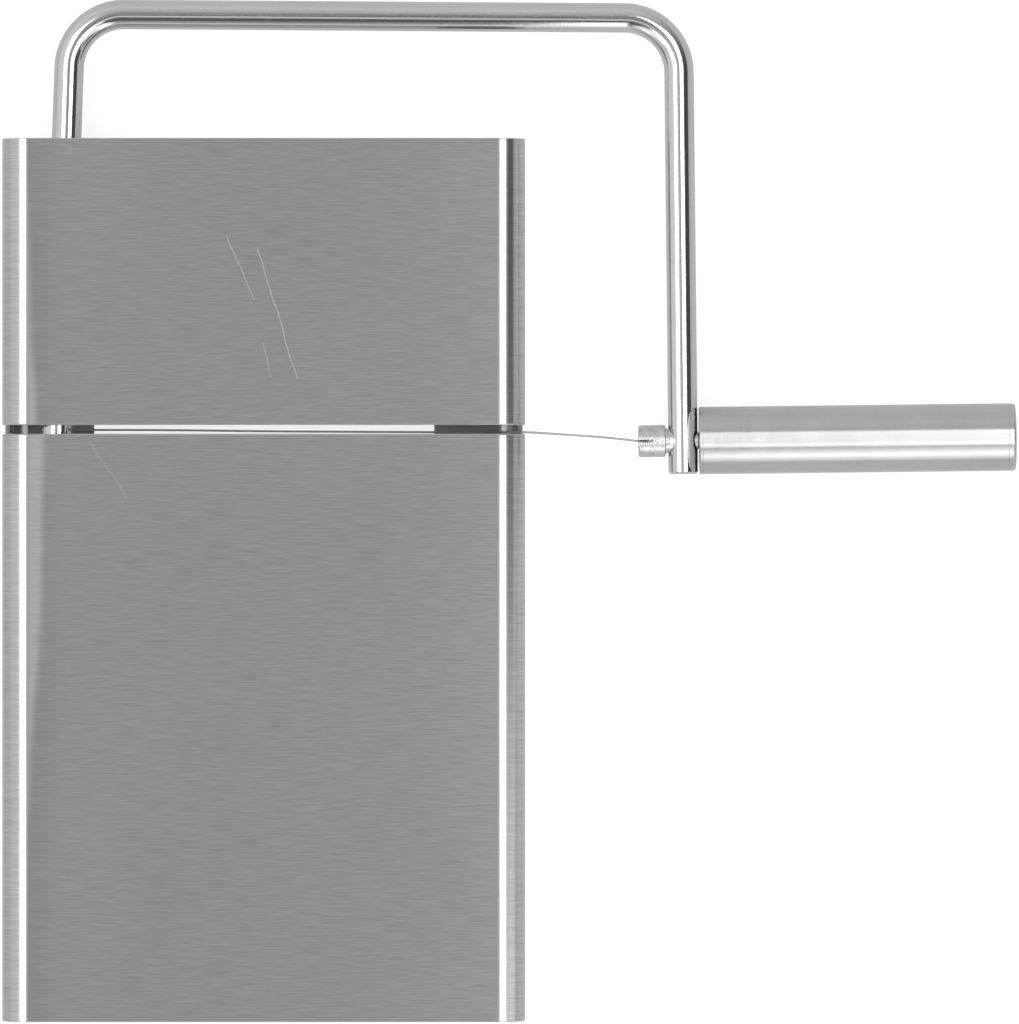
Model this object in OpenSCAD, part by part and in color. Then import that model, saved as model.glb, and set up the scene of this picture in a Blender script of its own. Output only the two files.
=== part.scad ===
// Wire butter slicer: a folded steel board with a cutting slot, and a hinged rod arm that carries the wire.
// X runs across the board, Y towards its back edge and Z up.
// The origin is on the table, under the centre of the board.

/* [Board] */
// Length of the board, front to back
board_length = 209.2; // [170:0.1:260]
// Width of the board over its rolled sides
board_width = 124; // [110:1:150]
// Thickness of the board over its rolled sides
board_thickness = 12.8; // [12.4:0.1:15]
// Thickness of the board's sheet steel
sheet = 1; // [0.8:0.1:1.2]
// Width of the flat return lip under each side
lip_width = 15.2; // [14:0.1:20]
// Distance of the slot's middle from the board's back edge
slot_from_back = 68.95; // [62:0.05:90]
// Width of the cutting slot
slot_width = 2.1; // [1.6:0.1:3]
// How far the slot reaches below the wire in the board's sides
slot_below_wire = 2.7; // [1.5:0.1:4]

/* [Feet] */
// Diameter of a rubber foot
foot_diameter = 9; // [7:0.1:9]
// Distance of the feet from the board's sides
foot_side_inset = 11; // [11:0.1:14]
// Distance of the feet from the board's front and back edges
foot_end_inset = 15; // [10:0.5:20]
// Diameter of the hole that a foot is pushed into
foot_hole = 5; // [4:0.1:5.5]
// How far a foot's barb stands above the lip
foot_barb = 1.3; // [1:0.1:1.6]

/* [Arm] */
// Diameter of the arm's rod
rod_diameter = 7; // [6:0.1:7.4]
// Distance of the pivot leg from the board's left side, at the slot
pivot_inset = 12.85; // [12.5:0.05:14]
// How far the pivot leg leans clockwise, seen from above
arm_skew = 2; // [0:0.1:3]
// How far the crossbar leans clockwise, seen from above
crossbar_lean = 0.4; // [0:0.1:2]
// How far the handle leg leans outwards
leg_splay = 0.65; // [0:0.05:2]
// Distance of the crossbar behind the board's back edge, at the pivot leg
crossbar_gap = 29.65; // [25:0.05:60]
// Distance of the right bend's corner from the board's right side
side_gap = 36.3; // [34:0.1:60]
// Radius of the bends at the rod's centre
bend_radius = 13; // [10:0.5:20]
// Length of the pivot leg in front of the wire
pivot_leg_tip = 3.5; // [3:0.1:6]
// Length of the handle leg past the handle's axis
handle_leg_tip = 7.9; // [6:0.1:12]
// Bevel at the rod's ends
rod_bevel = 0.5; // [0.2:0.1:1]

/* [Handle] */
// Diameter of the handle, which lies on the table with the arm level
handle_diameter = 16; // [15.6:0.1:20]
// Length of the handle over its caps
handle_length = 75; // [50:1:110]
// Wall of the handle's tube
handle_wall = 1; // [0.8:0.1:1.5]
// Distance of the handle's axis in front of the slot, at the handle leg
handle_offset = 2.65; // [0:0.05:5]
// Gap between the handle and the rod, which the wire's pull closes
handle_gap = 0.35; // [0.3:0.05:1]
// Thickness of the near cap's rim, with its rounded edge
near_cap_rim = 0.8; // [0.8:0.1:1.5]
// Thickness of the far cap's rim, with its rounded edge
far_cap_rim = 1.7; // [1.6:0.1:3]
// Depth of the caps' spigots in the tube
cap_spigot = 2.5; // [1.5:0.1:5]
// Diameter of the hole in the near cap
near_cap_hole = 5.2; // [4.6:0.1:8]
// Length of the threaded insert in the handle
insert_length = 14; // [8:0.5:25]

/* [Tension screw] */
// Diameter of the screw's head
head_diameter = 7.6; // [6.4:0.1:10]
// Length of the screw's head
head_length = 6.4; // [6.2:0.1:9]
// Gap between the head and the rod, which is left to tighten the wire
head_gap = 0.65; // [0.6:0.05:2]
// Diameter of the neck that slides in the rod
neck_diameter = 5.84; // [5:0.02:5.84]
// How far the neck goes into the rod
neck_depth = 2; // [1:0.1:2.2]
// Diameter of the screw's shank over the thread
shank_diameter = 4; // [3:0.5:4]
// Width of the slot in the head that the wire is laid in
head_slot = 0.7; // [0.65:0.05:1]
// Distance of the tension nipple from the head's end
nipple_from_end = 3.5; // [3:0.1:4]

/* [Wire] */
// Diameter of the cutting wire
wire_diameter = 0.5; // [0.3:0.05:0.55]
// Diameter of the anchor nipple
anchor_nipple_diameter = 2.8; // [2:0.1:3]
// Length of the anchor nipple
anchor_nipple_length = 2.2; // [1.5:0.1:2.4]
// Diameter of the tension nipple
tension_nipple_diameter = 2.4; // [1.8:0.1:2.6]
// Length of the tension nipple
tension_nipple_length = 3; // [2:0.1:3.6]

/* [Pivot] */
// Thickness of the bracket's strip
bracket_sheet = 1; // [0.8:0.1:1]
// Distance of the bracket's front ear behind the slot
bracket_from_slot = 9; // [8:0.5:14]
// Length of the bracket over its ears
bracket_length = 32; // [20:1:34]
// Inner radius of the bracket's bends
bracket_bend = 1; // [0.5:0.1:1.5]
// Wall of a pivot bush
bush_wall = 0.65; // [0.5:0.05:0.65]
// Thickness of a bush's flange
bush_flange = 1; // [0.6:0.1:1.5]
// Gap between the bushes' flanges and the sheet above and below
flange_gap = 0.4; // [0.3:0.1:1]
// Thickness of a thrust washer
washer_thickness = 0.5; // [0.3:0.1:1]
// Thickness of a retaining clip
clip_thickness = 0.8; // [0.5:0.1:1]
// Depth of the clips' grooves in the rod
groove_depth = 0.5; // [0.4:0.1:0.8]
// How much smaller the washers and clips are than the bushes' flanges
flange_lead = 0.2; // [0:0.1:1]

/* [Fits] */
// Radial clearance of a part that turns or slides on another
running_fit = 0.05; // [0.03:0.01:0.08]
// Radial clearance of the screw in its through hole and of its neck
screw_fit = 0.08; // [0.05:0.01:0.1]
// Clearance of a nipple in its seat, and of the wire in its holes
nipple_fit = 0.1; // [0.05:0.05:0.2]
// Gap on each side of a thrust washer and a clip
end_play = 0.1; // [0.05:0.05:0.2]
// Clearance of a clip in its groove, across the rod and along it
clip_fit = 0.05; // [0.02:0.01:0.1]

/* [Hidden] */
smooth = 96;
wire_sides = 8;
wire_steps = 4;
cut = 1;

// Board
roll_radius = board_thickness / 2;
roll_x = board_width / 2 - roll_radius;
axis_z = handle_diameter / 2;
board_bottom = axis_z - board_thickness / 2;
lip_top = board_bottom + sheet;
slot_y = board_length / 2 - slot_from_back;
slot_floor = axis_z - slot_below_wire;
foot_x = board_width / 2 - foot_side_inset;
foot_y = board_length / 2 - foot_end_inset;

// Arm, in a frame on the pivot axis that leans with the pivot leg
pivot_x = -board_width / 2 + pivot_inset;
rod_radius = rod_diameter / 2;
arm_reach = slot_from_back + crossbar_gap;
board_side = board_width - pivot_inset;
arm_span = (board_side + side_gap - arm_reach * sin(arm_skew)) / cos(crossbar_lean);
crossbar_angle = arm_skew - crossbar_lean;
leg_angle = arm_skew + leg_splay - 90;
corner_a = [0, arm_reach];
corner_b = corner_a + arm_span * [cos(crossbar_angle), sin(crossbar_angle)];
turn_a = 90 - crossbar_angle;
turn_b = crossbar_angle - leg_angle;
trim_a = bend_radius * tan(turn_a / 2);
trim_b = bend_radius * tan(turn_b / 2);
bend_thinning = 0.01;
bend_lap = 0.3;
leg_to_handle = (cos(arm_skew) * corner_b[1] - sin(arm_skew) * corner_b[0] + handle_offset) / cos(leg_splay);
handle_cross = corner_b + leg_to_handle * [cos(leg_angle), sin(leg_angle)];
wire_hole = wire_diameter + 4 * nipple_fit;
anchor_hole = anchor_nipple_diameter + 2 * nipple_fit;
anchor_seat = rod_radius - anchor_nipple_length - nipple_fit;

// Tension screw and handle, along the handle's axis from the handle leg's axis
head_near = -rod_radius - head_gap;
head_end = head_near - head_length;
neck_end = -rod_radius + neck_depth;
neck_travel = 1;
through_hole = shank_diameter + 2 * screw_fit;
counterbore = neck_diameter + 2 * screw_fit;
head_bevel = 0.3;
nipple_x = head_end + nipple_from_end;
nipple_hole = tension_nipple_diameter + 2 * nipple_fit;
handle_near = rod_radius + handle_gap;
handle_bore = handle_diameter - 2 * handle_wall;
near_cap_round = 0.7;
far_cap_round = 1.5;
cap_wall = 1.5;
insert_near = handle_near + near_cap_rim + cap_spigot;
insert_bore = shank_diameter + 2 * running_fit;
shank_past_insert = 1;
shank_end = insert_near + insert_length + shank_past_insert;

// Pivot hardware, along the pivot axis from the slot
flange_diameter = board_thickness - 2 * sheet - 2 * flange_gap;
bush_bore = rod_diameter + 2 * running_fit;
bush_diameter = bush_bore + 2 * bush_wall;
front_ear = bracket_from_slot;
rear_ear = bracket_from_slot + bracket_length;
clip_bore = rod_diameter - 2 * groove_depth + clip_fit;
clip_diameter = flange_diameter - flange_lead;
clip_mouth_share = 0.72;
clip_notch = 0.9;
washer_from_ear = bush_flange + end_play;
clip_from_ear = washer_from_ear + washer_thickness + end_play;
weld_spot = 3;
weld_depth = 0.2;

// The wire's route at rest, seen from above, from the pivot axis and the slot's middle.
// It runs through the slot to the board's right side, and in a slight bow from there to the nipple.
nipple_at = [
    cos(arm_skew) * handle_cross[0] + sin(arm_skew) * handle_cross[1] + nipple_x * cos(leg_splay),
    cos(arm_skew) * handle_cross[1] - sin(arm_skew) * handle_cross[0] + nipple_x * sin(leg_splay)
];
head_at = [nipple_at[0] - nipple_from_end, nipple_at[1]];
wire_in_slot = [[-2.85, -0.1], [2.15, -0.1], [18.15, -0.1], [33.15, -0.2], [49.15, -0.4]];
wire_to_side = [[-26, -0.6], [-10, -0.65], [0, -0.65]];
wire_bow = [[0.19, 0.12], [0.41, 0.31], [0.67, 0.55], [0.89, 0.84]];
wire_past_nipple = [0.8, 0.01];
side_at = [board_side, 0] + wire_to_side[2];
anchor_y = slot_y + wire_in_slot[0][1];
wire_route = concat(
    wire_in_slot,
    [for (p = wire_to_side) [board_side, 0] + p],
    [for (share = wire_bow) [for (k = [0, 1]) side_at[k] + share[k] * (head_at[k] - side_at[k])]],
    [head_at, nipple_at + wire_past_nipple]
);

// A cylinder along +Y from y = 0
module along_y(d, length) {
    rotate([-90, 0, 0]) cylinder(d = d, h = length, $fn = smooth);
}

// A cylinder along +X from x = 0
module along_x(d, length) {
    rotate([0, 90, 0]) cylinder(d = d, h = length, $fn = smooth);
}

// The frame of the arm: its origin on the pivot axis at the slot, its Y along the pivot leg
module arm_frame() {
    translate([pivot_x, slot_y, axis_z]) rotate(-arm_skew) children();
}

// The frame of the handle: its origin on the handle leg's axis, its X towards the handle
module handle_frame() {
    arm_frame() translate([handle_cross[0], handle_cross[1], 0]) rotate(leg_angle + 90) children();
}

// A flat bar with half-round sides, as long as the board
module rolled_prism(thickness, length) {
    for (side = [-1, 1])
        translate([side * roll_x, -length / 2, axis_z]) along_y(thickness, length);
    translate([-roll_x, -length / 2, axis_z - thickness / 2]) cube([2 * roll_x, length, thickness]);
}

module board_shell() {
    color("silver") difference() {
        rolled_prism(board_thickness, board_length);
        rolled_prism(board_thickness - 2 * sheet, board_length + 2 * cut);
        translate([-roll_x + lip_width, -board_length / 2 - cut, board_bottom - cut])
            cube([2 * (roll_x - lip_width), board_length + 2 * cut, sheet + 2 * cut]);
        translate([-board_width / 2 - cut, slot_y - slot_width / 2, slot_floor])
            cube([board_width + 2 * cut, slot_width, board_thickness]);
        for (x = [-foot_x, foot_x], y = [-foot_y, foot_y])
            translate([x, y, board_bottom - cut]) cylinder(d = foot_hole, h = sheet + 2 * cut, $fn = smooth);
    }
}

// A push-in foot: a pad on the table, a stem through the lip and a barb above it
module foot(x, y) {
    pad_bevel = 0.4;
    barb_land = 0.3;
    barb_flare = 0.6;
    barb_wide = foot_hole / 2 + barb_flare;
    barb_top = foot_hole / 2 - barb_flare;
    color("dimgray") translate([x, y, 0]) rotate_extrude($fn = smooth) polygon([
        [0, 0], [foot_diameter / 2 - pad_bevel, 0], [foot_diameter / 2, pad_bevel],
        [foot_diameter / 2, board_bottom], [foot_hole / 2, board_bottom], [foot_hole / 2, lip_top],
        [barb_wide, lip_top], [barb_wide, lip_top + barb_land], [barb_top, lip_top + foot_barb],
        [0, lip_top + foot_barb]
    ]);
}

module front_left_foot() { foot(-foot_x, -foot_y); }
module front_right_foot() { foot(foot_x, -foot_y); }
module rear_left_foot() { foot(-foot_x, foot_y); }
module rear_right_foot() { foot(foot_x, foot_y); }

// The side view of the bracket: a strip with both ends bent up
module bracket_outline() {
    height = 2 * board_thickness;
    outer = bracket_bend + bracket_sheet;
    difference() {
        union() {
            translate([front_ear + outer, 0]) circle(r = outer, $fn = smooth);
            translate([rear_ear - outer, 0]) circle(r = outer, $fn = smooth);
            translate([front_ear + outer, -outer]) square([bracket_length - 2 * outer, outer]);
            translate([front_ear, 0]) square([bracket_length, height]);
        }
        translate([front_ear + outer, 0]) circle(r = bracket_bend, $fn = smooth);
        translate([rear_ear - outer, 0]) circle(r = bracket_bend, $fn = smooth);
        translate([front_ear + outer, -bracket_bend]) square([bracket_length - 2 * outer, outer]);
        translate([front_ear + bracket_sheet, 0]) square([bracket_length - 2 * bracket_sheet, height + cut]);
    }
}

module pivot_bracket() {
    base = lip_top - axis_z;
    color("lightslategray") arm_frame() difference() {
        intersection() {
            translate([-flange_diameter / 2, 0, base + bracket_bend + bracket_sheet])
                rotate([90, 0, 90]) linear_extrude(flange_diameter) bracket_outline();
            union() {
                along_y(flange_diameter, rear_ear + cut);
                translate([-flange_diameter / 2, 0, base - cut])
                    cube([flange_diameter, rear_ear + cut, cut - base]);
            }
        }
        along_y(bush_diameter, rear_ear + 2 * cut);
        for (k = [1 : 3])
            translate([0, front_ear + k * bracket_length / 4, base + bracket_sheet - weld_depth])
                cylinder(d = weld_spot, h = cut, $fn = smooth);
    }
}

// A flanged bush with its flange's outer face on y = 0 and its sleeve along +Y
module pivot_bush() {
    color("ivory") difference() {
        union() {
            along_y(flange_diameter, bush_flange);
            along_y(bush_diameter, bush_flange + bracket_sheet);
        }
        translate([0, -cut, 0]) along_y(bush_bore, bush_flange + bracket_sheet + 2 * cut);
    }
}

module thrust_washer() {
    color("gainsboro") difference() {
        along_y(clip_diameter, washer_thickness);
        translate([0, -cut, 0]) along_y(bush_bore, washer_thickness + 2 * cut);
    }
}

// An E-shaped clip that is pushed on from the side
module retaining_clip() {
    mouth = clip_mouth_share * clip_bore;
    color("dimgray") difference() {
        along_y(clip_diameter, clip_thickness);
        translate([0, -cut, 0]) along_y(clip_bore, clip_thickness + 2 * cut);
        translate([0, -cut, -mouth / 2]) cube([clip_diameter, clip_thickness + 2 * cut, mouth]);
        for (a = [120, 240])
            rotate([0, a, 0]) translate([clip_bore / 2, -cut, 0])
                along_y(2 * clip_notch, clip_thickness + 2 * cut);
    }
}

// Puts a piece that is built from y = 0 in front of the front ear, or behind the rear one turned round
module at_front_ear(out) {
    arm_frame() translate([0, front_ear - out, 0]) children();
}
module at_rear_ear(out) {
    arm_frame() translate([0, rear_ear + out, 0]) rotate(180) children();
}

module front_pivot_bush() { at_front_ear(bush_flange) pivot_bush(); }
module rear_pivot_bush() { at_rear_ear(bush_flange) pivot_bush(); }
module front_thrust_washer() { at_front_ear(washer_from_ear + washer_thickness) thrust_washer(); }
module rear_thrust_washer() { at_rear_ear(washer_from_ear + washer_thickness) thrust_washer(); }
module front_retaining_clip() { at_front_ear(clip_from_ear + clip_thickness) retaining_clip(); }
module rear_retaining_clip() { at_rear_ear(clip_from_ear + clip_thickness) retaining_clip(); }

// A bend of the rod that turns clockwise at a corner and laps into the straight stretches on both sides
module rod_bend(corner, heading, turn, trim) {
    start = corner - trim * [cos(heading), sin(heading)];
    centre = start + bend_radius * [sin(heading), -cos(heading)];
    lap = bend_lap / bend_radius * 180 / PI;
    translate([centre[0], centre[1], 0]) rotate(heading + 90 - turn - lap)
        rotate_extrude(angle = turn + 2 * lap, $fn = smooth)
            translate([bend_radius, 0]) circle(r = rod_radius - bend_thinning, $fn = smooth);
}

// A straight stretch of the rod from a point along a heading, with a bevel at its far end if it has one
module rod_stretch(from, heading, length, bevel = 0) {
    translate([from[0], from[1], 0]) rotate([0, 90, heading]) {
        cylinder(r = rod_radius, h = length - bevel, $fn = smooth);
        if (bevel > 0)
            translate([0, 0, length - bevel])
                cylinder(r1 = rod_radius, r2 = rod_radius - bevel, h = bevel, $fn = smooth);
    }
}

// A groove for a retaining clip whose front face is at a distance behind the slot
module clip_groove(from) {
    width = clip_thickness + 2 * clip_fit;
    translate([0, from - clip_fit, 0]) difference() {
        along_y(rod_diameter + cut, width);
        translate([0, -cut, 0]) along_y(rod_diameter - 2 * groove_depth, width + 2 * cut);
    }
}

module arm_rod() {
    pivot_leg = arm_reach - trim_a;
    color("gainsboro") difference() {
        arm_frame() difference() {
            union() {
                rod_stretch([0, pivot_leg], -90, pivot_leg + pivot_leg_tip, rod_bevel);
                rod_bend(corner_a, 90, turn_a, trim_a);
                rod_stretch(corner_a + trim_a * [cos(crossbar_angle), sin(crossbar_angle)],
                    crossbar_angle, arm_span - trim_a - trim_b);
                rod_bend(corner_b, crossbar_angle, turn_b, trim_b);
                rod_stretch(corner_b + trim_b * [cos(leg_angle), sin(leg_angle)],
                    leg_angle, leg_to_handle - trim_b + handle_leg_tip, rod_bevel);
            }
            clip_groove(front_ear - clip_from_ear - clip_thickness);
            clip_groove(rear_ear + clip_from_ear);
        }
        translate([pivot_x, anchor_y, axis_z]) {
            translate([-rod_diameter, 0, 0]) along_x(wire_hole, 2 * rod_diameter);
            translate([-rod_diameter, 0, 0]) along_x(anchor_hole, rod_diameter - anchor_seat);
        }
        handle_frame() {
            translate([-rod_diameter, 0, 0]) along_x(through_hole, 2 * rod_diameter);
            translate([-rod_diameter, 0, 0])
                along_x(counterbore, rod_diameter + neck_end + neck_travel);
        }
    }
}

module anchor_nipple() {
    color("darkgray") translate([pivot_x - anchor_seat - anchor_nipple_length, anchor_y, axis_z])
        difference() {
            along_x(anchor_nipple_diameter, anchor_nipple_length);
            translate([-cut, 0, 0]) along_x(wire_diameter + nipple_fit, anchor_nipple_length + 2 * cut);
        }
}

// A point on a smooth curve through b and c, between its neighbours a and d
function curve(a, b, c, d, t) =
    0.5 * (2 * b + (c - a) * t + (2 * a - 5 * b + 4 * c - d) * t * t
        + (3 * b - a - 3 * c + d) * t * t * t);
function stop(list, k) = list[max(0, min(len(list) - 1, k))];
function smooth_path(list, steps) = concat(
    [for (k = [0 : len(list) - 2], s = [0 : steps - 1])
        curve(stop(list, k - 1), list[k], list[k + 1], stop(list, k + 2), s / steps)],
    [list[len(list) - 1]]);

// One closed tube along a level path, with a ring of points at each stop
module level_tube(path, radius, sides) {
    last = len(path) - 1;
    rings = [for (k = [0 : last])
        let (way = stop(path, k + 1) - stop(path, k - 1), side = [way[1], -way[0]] / norm(way))
        for (s = [0 : sides - 1])
            let (a = 360 * s / sides)
            [each path[k] + radius * cos(a) * side, radius * sin(a)]];
    walls = [for (k = [0 : last - 1], s = [0 : sides - 1])
        let (n = (s + 1) % sides, p = k * sides)
        each [[p + s, p + sides + s, p + sides + n], [p + s, p + sides + n, p + n]]];
    start_cap = [for (s = [1 : sides - 2]) [0, s, s + 1]];
    end_cap = [for (s = [1 : sides - 2]) [last * sides, last * sides + s + 1, last * sides + s]];
    polyhedron(rings, concat(walls, start_cap, end_cap));
}

module cutting_wire() {
    color("gray") translate([pivot_x, slot_y, axis_z])
        level_tube(smooth_path(wire_route, wire_steps), wire_diameter / 2, wire_sides);
}

module tension_nipple() {
    color("darkgray") handle_frame() translate([nipple_x, 0, 0]) difference() {
        translate([0, 0, -tension_nipple_length / 2])
            cylinder(d = tension_nipple_diameter, h = tension_nipple_length, $fn = smooth);
        translate([-tension_nipple_diameter, 0, 0])
            along_x(wire_diameter + nipple_fit, 2 * tension_nipple_diameter);
    }
}

module tension_screw() {
    shank_bevel = 0.4;
    half = head_diameter / 2;
    color("lightgray") handle_frame() difference() {
        rotate([0, 90, 0]) rotate_extrude($fn = smooth) polygon([
            [0, head_end], [half - head_bevel, head_end], [half, head_end + head_bevel],
            [half, head_near - head_bevel], [half - head_bevel, head_near], [neck_diameter / 2, head_near],
            [neck_diameter / 2, neck_end], [shank_diameter / 2, neck_end],
            [shank_diameter / 2, shank_end - shank_bevel], [shank_diameter / 2 - shank_bevel, shank_end],
            [0, shank_end]
        ]);
        translate([head_end - cut, -head_slot / 2, -head_diameter])
            cube([nipple_x - head_end + cut, head_slot, 2 * head_diameter]);
        translate([nipple_x, 0, tension_nipple_length / 2 + nipple_fit - head_diameter])
            cylinder(d = nipple_hole, h = head_diameter, $fn = smooth);
    }
}

module handle_tube() {
    tube = handle_length - near_cap_rim - far_cap_rim;
    color("gainsboro") handle_frame() translate([handle_near + near_cap_rim, 0, 0]) difference() {
        along_x(handle_diameter, tube);
        translate([-cut, 0, 0]) along_x(handle_bore, tube + 2 * cut);
    }
}

// A cap on the tube's end: a rim with a rounded edge, whose face is on x = 0, and a hollow spigot along +X
module handle_cap(rim, edge_round) {
    half = handle_diameter / 2;
    rotate([0, 90, 0]) rotate_extrude($fn = smooth) {
        square([half - edge_round, rim]);
        translate([0, edge_round]) square([half, rim - edge_round]);
        intersection() {
            translate([half - edge_round, edge_round]) circle(r = edge_round, $fn = smooth);
            translate([half - edge_round, 0]) square(edge_round);
        }
        translate([handle_bore / 2 - cap_wall, rim]) square([cap_wall, cap_spigot]);
    }
}

module handle_near_cap() {
    color("silver") handle_frame() translate([handle_near, 0, 0]) difference() {
        handle_cap(near_cap_rim, near_cap_round);
        translate([-cut, 0, 0]) along_x(near_cap_hole, near_cap_rim + 2 * cut);
    }
}

module handle_far_cap() {
    color("silver") handle_frame() translate([handle_near + handle_length, 0, 0]) mirror([1, 0, 0])
        handle_cap(far_cap_rim, far_cap_round);
}

module handle_insert() {
    color("darkgray") handle_frame() translate([insert_near, 0, 0]) difference() {
        along_x(handle_bore, insert_length);
        translate([-cut, 0, 0]) along_x(insert_bore, insert_length + 2 * cut);
    }
}

board_shell();
front_left_foot();
front_right_foot();
rear_left_foot();
rear_right_foot();
pivot_bracket();
front_pivot_bush();
rear_pivot_bush();
front_thrust_washer();
rear_thrust_washer();
front_retaining_clip();
rear_retaining_clip();
arm_rod();
anchor_nipple();
cutting_wire();
tension_nipple();
tension_screw();
handle_tube();
handle_near_cap();
handle_far_cap();
handle_insert();
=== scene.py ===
import bmesh
import bpy
import math
from mathutils import Matrix, Vector


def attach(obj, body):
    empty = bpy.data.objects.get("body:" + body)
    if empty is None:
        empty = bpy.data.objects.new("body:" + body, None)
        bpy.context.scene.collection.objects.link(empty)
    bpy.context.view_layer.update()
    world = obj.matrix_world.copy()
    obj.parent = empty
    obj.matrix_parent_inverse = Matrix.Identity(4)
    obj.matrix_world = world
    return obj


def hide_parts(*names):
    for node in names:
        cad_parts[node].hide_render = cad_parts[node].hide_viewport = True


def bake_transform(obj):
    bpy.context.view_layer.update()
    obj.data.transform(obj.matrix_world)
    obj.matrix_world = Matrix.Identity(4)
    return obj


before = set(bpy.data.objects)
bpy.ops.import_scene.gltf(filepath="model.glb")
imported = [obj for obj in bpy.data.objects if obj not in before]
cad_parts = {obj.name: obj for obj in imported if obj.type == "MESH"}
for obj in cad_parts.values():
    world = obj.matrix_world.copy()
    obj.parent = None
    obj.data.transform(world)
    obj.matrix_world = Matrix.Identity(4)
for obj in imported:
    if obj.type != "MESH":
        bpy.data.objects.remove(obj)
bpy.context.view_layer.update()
mm = 0.001
print("frame loaded:", len(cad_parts), "CAD nodes")


# shared helpers

def linearHex(text):  # sRGB hex to the linear colour that Blender's sockets take
    parts = [int(text[i:i + 2], 16) / 255 for i in (1, 3, 5)]
    return [c / 12.92 if c <= 0.04045 else ((c + 0.055) / 1.055) ** 2.4 for c in parts] + [1.0]


def addNode(tree, kind, sockets=None, **settings):
    # One node with its settings, values and links. A node given as a value means its first output.
    node = tree.nodes.new(kind)
    for name, value in settings.items():
        setattr(node, name, value)
    for key, value in (sockets or {}).items():
        if isinstance(value, bpy.types.Node):
            value = value.outputs[0]
        if isinstance(value, bpy.types.NodeSocket):
            tree.links.new(value, node.inputs[key])
        else:
            node.inputs[key].default_value = value
    return node


def fillRamp(node, stops):  # stops: (place 0 to 1, grey level)
    ramp = node.color_ramp.elements
    while len(ramp) > 1:
        ramp.remove(ramp[-1])
    ramp[0].position = stops[0][0]
    ramp[0].color = [stops[0][1]] * 3 + [1]
    for place, level in stops[1:]:
        ramp.new(place).color = [level] * 3 + [1]


def makeObject(name, mesh):
    piece = bpy.data.objects.new(name, mesh)
    bpy.context.scene.collection.objects.link(piece)
    return piece


def meshObject(name, bm):
    mesh = bpy.data.meshes.new(name)
    bm.to_mesh(mesh)
    bm.free()
    return makeObject(name, mesh)


def smoothShaded(piece, degrees):  # smooth, but for the edges that turn by more than this
    piece.data.shade_smooth()
    piece.data.set_sharp_from_angle(angle=math.radians(degrees))
    return piece


def frozen(carrier, name):  # the evaluated object as a plain mesh piece
    bpy.context.view_layer.update()
    evaluated = carrier.evaluated_get(bpy.context.evaluated_depsgraph_get())
    mesh = bpy.data.meshes.new_from_object(evaluated)
    mesh.name = name
    bpy.data.objects.remove(carrier)
    return makeObject(name, mesh)


def roundCorners(corners, steps=5, guard=0.12):
    # corners: (along, out, fillet) in mm. Each fillet becomes an arc, with a guard point beside it
    # so that the smooth shading of the flat stretch stays flat.
    points = []
    for i, (a, r, fillet) in enumerate(corners):
        here = Vector((a, r))
        if fillet <= 0 or i in (0, len(corners) - 1):
            points.append(here)
            continue
        back = (Vector(corners[i - 1][:2]) - here)
        ahead = (Vector(corners[i + 1][:2]) - here)
        backLength, aheadLength = back.length, ahead.length
        back.normalize()
        ahead.normalize()
        opening = back.angle(ahead)
        reach = min(fillet / math.tan(opening / 2), backLength * 0.45, aheadLength * 0.45)
        radius = reach * math.tan(opening / 2)
        centre = here + (back + ahead).normalized() * (radius / math.sin(opening / 2))
        first, last = here + back * reach, here + ahead * reach
        if backLength > reach + 2 * guard:
            points.append(first + back * guard)
        start = first - centre
        sweep = start.angle_signed(last - centre)
        for k in range(steps + 1):
            turn = Matrix.Rotation(-sweep * k / steps, 2)
            points.append(centre + turn @ start)
        if aheadLength > reach + 2 * guard:
            points.append(last + ahead * guard)
    return points


def turned(name, profile, origin, axis, sides=72, ring=False):
    # Turns a profile of (along, out) points in mm round an axis. ring=True closes it into a hollow ring.
    axis = Vector(axis).normalized()
    side = axis.orthogonal().normalized()
    if abs(axis.z) < 0.5:
        side = Vector((0, 0, 1))
    other = axis.cross(side)
    bm = bmesh.new()
    layer = bm.loops.layers.uv.new("turning")
    rows = []
    for along, out in profile:
        centre = Vector(origin) * mm + axis * along * mm
        if out < 1e-6:
            rows.append([bm.verts.new(centre)])
            continue
        row = []
        for k in range(sides):
            angle = 2 * math.pi * k / sides
            row.append(bm.verts.new(centre + (side * math.cos(angle) + other * math.sin(angle)) * out * mm))
        rows.append(row)
    pairs = list(zip(rows, rows[1:])) + ([(rows[-1], rows[0])] if ring else [])
    for low, high in pairs:
        for k in range(sides):
            n = (k + 1) % sides
            corners = [low[k % len(low)], low[n % len(low)], high[n % len(high)], high[k % len(high)]]
            corners = [v for i, v in enumerate(corners) if v not in corners[:i]]
            if len(corners) > 2:
                bm.faces.new(corners)
    bmesh.ops.recalc_face_normals(bm, faces=bm.faces)
    for face in bm.faces:  # u runs along the axis, so a highlight is drawn out along it
        for loop in face.loops:
            v = loop.vert.co - Vector(origin) * mm
            loop[layer].uv = (v.dot(axis) * 10, math.atan2(v.dot(other), v.dot(side)) / 7)
    return smoothShaded(meshObject(name, bm), 38)


def drill(name, start, end, radius, origin, axis, sides):  # a round cutter, in mm along its axis
    return turned(name, [(start, 0), (start, radius), (end, radius), (end, 0)], origin, axis, sides)


def carved(piece, cutters, name):  # cuts the cutters' shapes out of the piece
    for cutter in cutters:
        cut = piece.modifiers.new("cut", "BOOLEAN")
        cut.operation, cut.solver, cut.object = "DIFFERENCE", "EXACT", cutter
    result = frozen(piece, name)
    for cutter in cutters:
        bpy.data.objects.remove(cutter)
    return smoothShaded(result, 30)


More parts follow.
